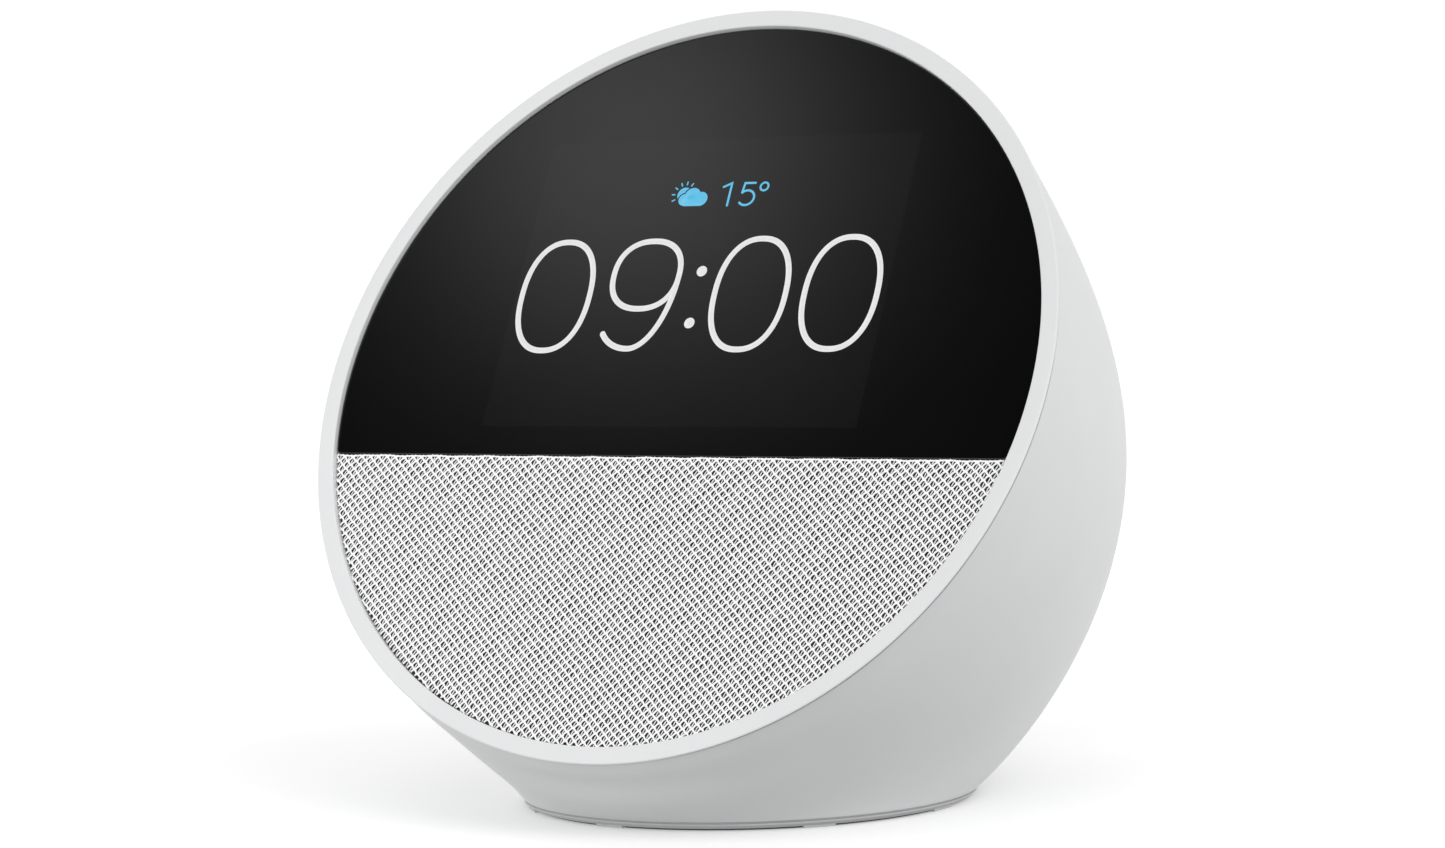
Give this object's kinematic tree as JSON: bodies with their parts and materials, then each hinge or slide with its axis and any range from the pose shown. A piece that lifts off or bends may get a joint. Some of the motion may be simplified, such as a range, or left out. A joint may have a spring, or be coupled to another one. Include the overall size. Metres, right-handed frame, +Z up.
{
  "type": "smart display",
  "caption": "Small ball-shaped smart display: a round face that leans back, dark glass over a knit speaker cloth, sprung keys on top and a power inlet behind.",
  "frame": {"origin": "centre of the round foot, at the surface it stands on", "axes": "+Z up, -Y out of the front, +X to the right seen from the front"},
  "size_m": [0.113, 0.1042, 0.1095],
  "materials": {
    "shell_plastic": "fine satin moulded",
    "rim_plastic": "satin moulded",
    "foot_plastic": "satin moulded",
    "key_plastic": "satin moulded",
    "cover_glass": "polished, black printed back",
    "display": "lit panel behind dark glass",
    "speaker_cloth": "open knit mesh",
    "foam": "soft matt",
    "rubber": "matt",
    "spider_cloth": "resin-stiffened cloth",
    "cone_paper": "matt fibre",
    "magnet": "sintered ferrite",
    "copper": "wound wire",
    "brass": "plain",
    "pressed_steel": "plated sheet",
    "screw_steel": "plated",
    "aluminium": "matt extruded",
    "inner_plastic": "moulded",
    "dark_plastic": "moulded",
    "black_plastic": "moulded",
    "inlet_plastic": "satin moulded",
    "connector_plastic": "moulded",
    "lead_plastic": "soft insulation",
    "flex_film": "polyimide film",
    "capacitor_sleeve": "shrink sleeve",
    "board": "solder mask over glass laminate"
  },
  "bodies": {
    "housing": {"body_shell": "shell_plastic", "rim_bezel": "rim_plastic", "cover_glass": "cover_glass", "display_panel": "display", "backlight_tray": "pressed_steel", "display_gasket": "foam", "face_carrier": "inner_plastic", "speaker_cloth": "speaker_cloth", "grille_plate": "dark_plastic", "speaker_gasket": "foam", "speaker_basket": "pressed_steel", "speaker_surround": "rubber", "speaker_spider": "spider_cloth", "speaker_magnet": "magnet", "speaker_yoke": "pressed_steel", "speaker_terminals": "brass", "speaker_enclosure": "dark_plastic", "speaker_lead": "lead_plastic", "speaker_screws": "screw_steel", "enclosure_screws": "screw_steel", "main_board": "board", "board_standoffs": "brass", "board_screws": "screw_steel", "shield_cans": "pressed_steel", "heat_spreader": "aluminium", "board_connectors": "connector_plastic", "display_flex": "flex_film", "power_lead": "black_plastic", "mic_board": "board", "microphones": "brass", "light_sensor": "black_plastic", "antenna_boards": "board", "core_frame": "inner_plastic", "frame_screws": "screw_steel", "key_board": "board", "key_guide": "inner_plastic", "key_switches": "black_plastic", "power_inlet": "black_plastic", "inlet_contact": "screw_steel", "inlet_surround": "inlet_plastic", "inlet_board": "board", "inlet_capacitors": "capacitor_sleeve", "base_cover": "foot_plastic", "foot_ring": "rubber", "ballast_plate": "pressed_steel", "base_screws": "screw_steel"},
    "volume_down_button": {"volume_down_key": "key_plastic", "volume_down_plunger": "connector_plastic"},
    "mic_button": {"mic_key": "key_plastic", "mic_plunger": "connector_plastic"},
    "volume_up_button": {"volume_up_key": "key_plastic", "volume_up_plunger": "connector_plastic"},
    "driver_cone": {"speaker_cone": "cone_paper", "dust_cap": "cone_paper", "voice_coil": "copper"}
  },
  "joints": [
    {"name": "volume_down_press", "type": "slide", "parent": "housing", "child": "volume_down_button", "axis": [0, -0.6667, -0.7454], "range_m": [0, 0.0005], "stiffness_N_per_m": 1500},
    {"name": "mic_press", "type": "slide", "parent": "housing", "child": "mic_button", "axis": [0, -0.6667, -0.7454], "range_m": [0, 0.0005], "stiffness_N_per_m": 1500},
    {"name": "volume_up_press", "type": "slide", "parent": "housing", "child": "volume_up_button", "axis": [0, -0.6667, -0.7454], "range_m": [0, 0.0005], "stiffness_N_per_m": 1500},
    {"name": "cone_travel", "type": "slide", "parent": "housing", "child": "driver_cone", "axis": [0, 0.8771, -0.4802], "range_m": [-0.0005, 0.0005], "stiffness_N_per_m": 1200}
  ]
}
